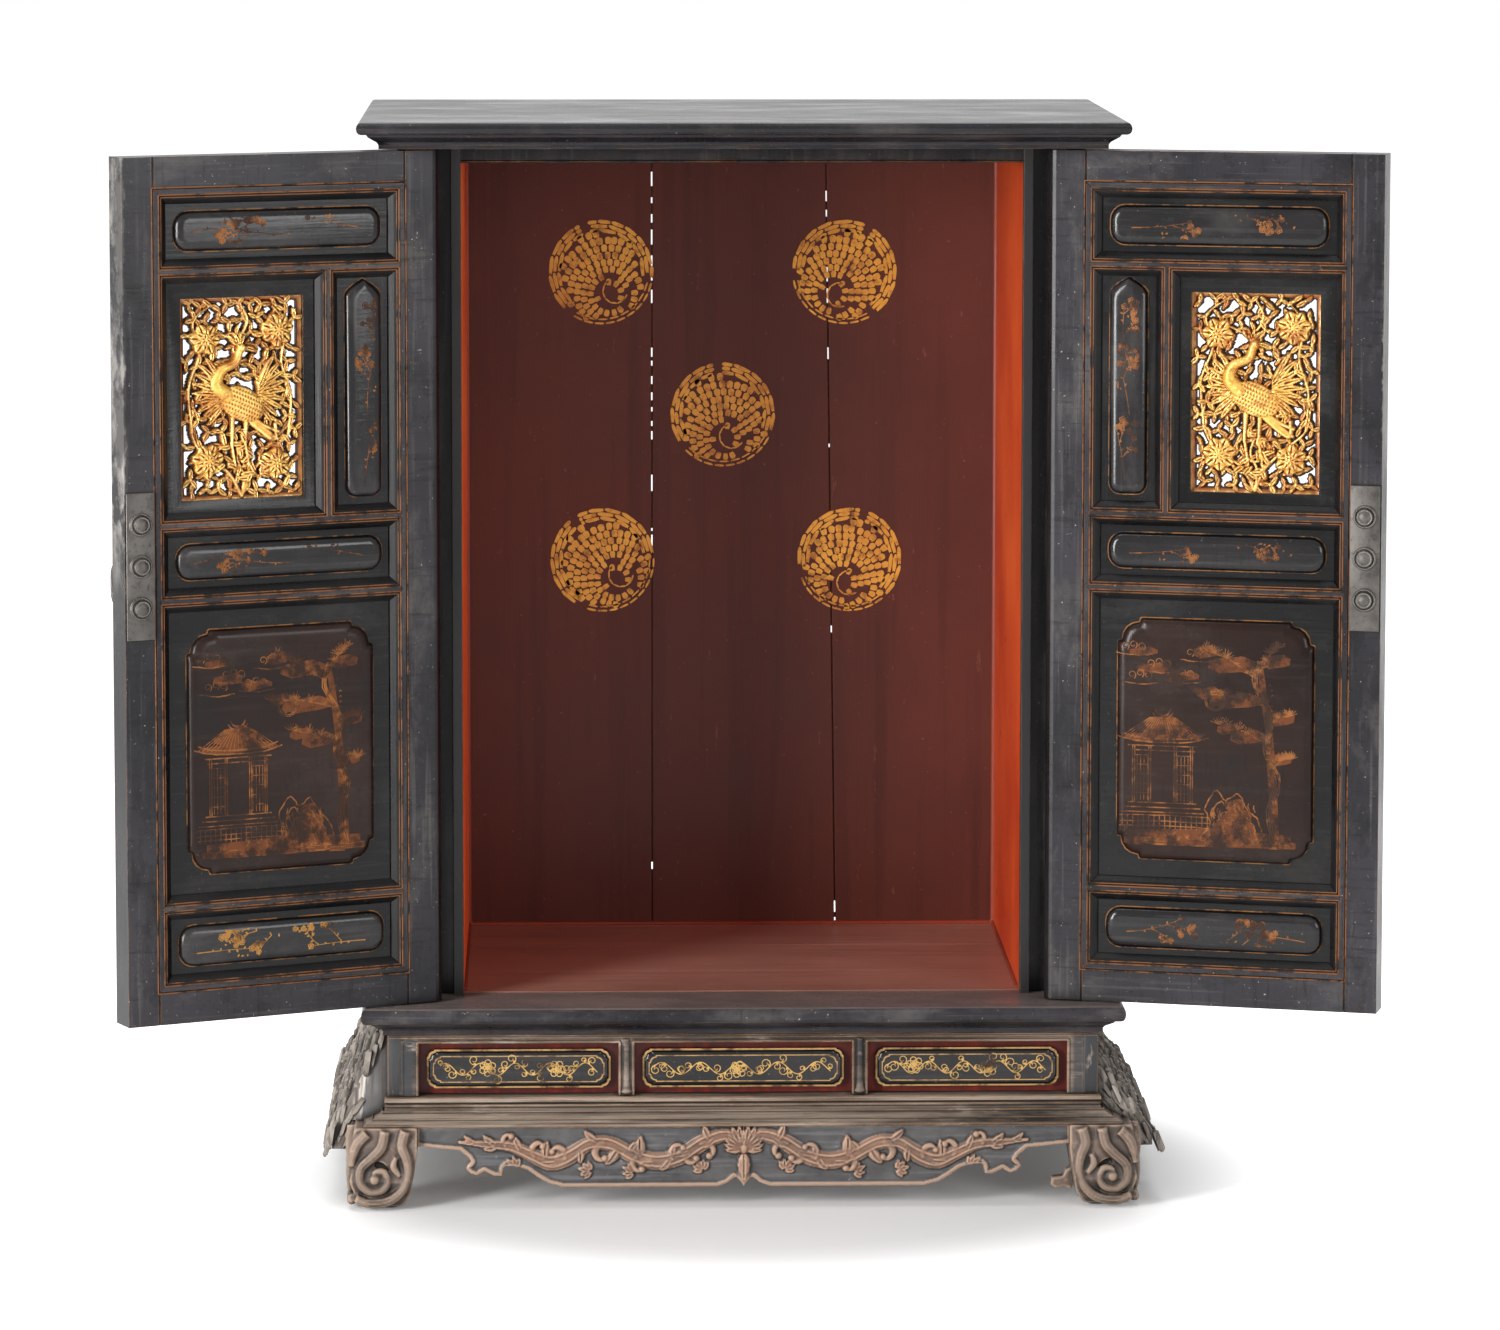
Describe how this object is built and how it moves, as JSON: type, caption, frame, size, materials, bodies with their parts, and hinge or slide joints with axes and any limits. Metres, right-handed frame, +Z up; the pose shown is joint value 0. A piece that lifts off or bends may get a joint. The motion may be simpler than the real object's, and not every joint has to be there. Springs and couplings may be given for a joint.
{
  "type": "lacquered wood shrine cabinet",
  "caption": "Lacquered wood cabinet shrine: a niche behind pivoting panelled doors with pierced gilt carvings, on a waisted stand with carved feet and apron.",
  "frame": {"origin": "on the ground, in the middle of the cabinet's width and halfway between the back edge of the slabs and the reach of the open left door", "axes": "+Z up, front and doors towards -Y, +X towards the viewer's right"},
  "size_m": [1.0558, 0.512, 0.9095],
  "materials": {
    "black_lacquer": "satin black lacquer with reddish-gold worn arrises",
    "red_lacquer": "aged vermilion lacquer, satin",
    "maroon_lacquer": "dark maroon lacquer on planks, satin",
    "worn_lacquer": "weathered black lacquer worn to brown wood, dull",
    "worn_wood": "carved wood with traces of gilding, dull",
    "raw_wood": "bare splintered wood",
    "gilt": "gold leaf on carved wood",
    "iron": "worn dull iron"
  },
  "bodies": {
    "cabinet": {"top_slab": "black_lacquer", "floor_slab": "black_lacquer", "left_lining": "red_lacquer", "right_lining": "red_lacquer", "left_post": "black_lacquer", "right_post": "black_lacquer", "left_side_board": "black_lacquer", "right_side_board": "black_lacquer", "left_back_board": "maroon_lacquer", "middle_back_board": "maroon_lacquer", "right_back_board": "maroon_lacquer", "head_rail": "black_lacquer", "waist_frame": "worn_lacquer", "waist_ground": "red_lacquer", "left_cartouche": "black_lacquer", "middle_cartouche": "black_lacquer", "right_cartouche": "black_lacquer", "waist_back": "worn_lacquer", "base_board": "worn_lacquer", "left_front_leg": "worn_wood", "right_front_leg": "worn_wood", "left_rear_leg": "worn_wood", "right_rear_leg": "worn_wood", "front_apron": "worn_wood", "left_flank": "raw_wood", "right_flank": "raw_wood"},
    "left_door": {"left_door_hinge_stile": "black_lacquer", "left_door_meeting_stile": "black_lacquer", "left_door_top_rail": "black_lacquer", "left_door_frieze_rail": "black_lacquer", "left_door_upper_rail": "black_lacquer", "left_door_middle_rail": "black_lacquer", "left_door_lower_rail": "black_lacquer", "left_door_foot_rail": "black_lacquer", "left_door_muntin": "black_lacquer", "left_door_frieze_panel": "black_lacquer", "left_door_narrow_panel": "black_lacquer", "left_door_carving": "gilt", "left_door_middle_panel": "black_lacquer", "left_door_picture_panel": "black_lacquer", "left_door_foot_panel": "black_lacquer", "left_door_inner_lock_plate": "iron", "left_door_outer_lock_plate": "iron"},
    "right_door": {"right_door_hinge_stile": "black_lacquer", "right_door_meeting_stile": "black_lacquer", "right_door_top_rail": "black_lacquer", "right_door_frieze_rail": "black_lacquer", "right_door_upper_rail": "black_lacquer", "right_door_middle_rail": "black_lacquer", "right_door_lower_rail": "black_lacquer", "right_door_foot_rail": "black_lacquer", "right_door_muntin": "black_lacquer", "right_door_frieze_panel": "black_lacquer", "right_door_narrow_panel": "black_lacquer", "right_door_carving": "gilt", "right_door_middle_panel": "black_lacquer", "right_door_picture_panel": "black_lacquer", "right_door_foot_panel": "black_lacquer", "right_door_inner_lock_plate": "iron", "right_door_outer_lock_plate": "iron"}
  },
  "joints": [
    {"name": "left_door_pivot", "type": "hinge", "parent": "cabinet", "child": "left_door", "pos_m": [-0.2695, -0.12842, 0.5285], "axis": [0, 0, 1], "range_deg": [-25, 155]},
    {"name": "right_door_pivot", "type": "hinge", "parent": "cabinet", "child": "right_door", "pos_m": [0.2695, -0.12842, 0.5285], "axis": [0, 0, 1], "range_deg": [-164, 16]}
  ]
}
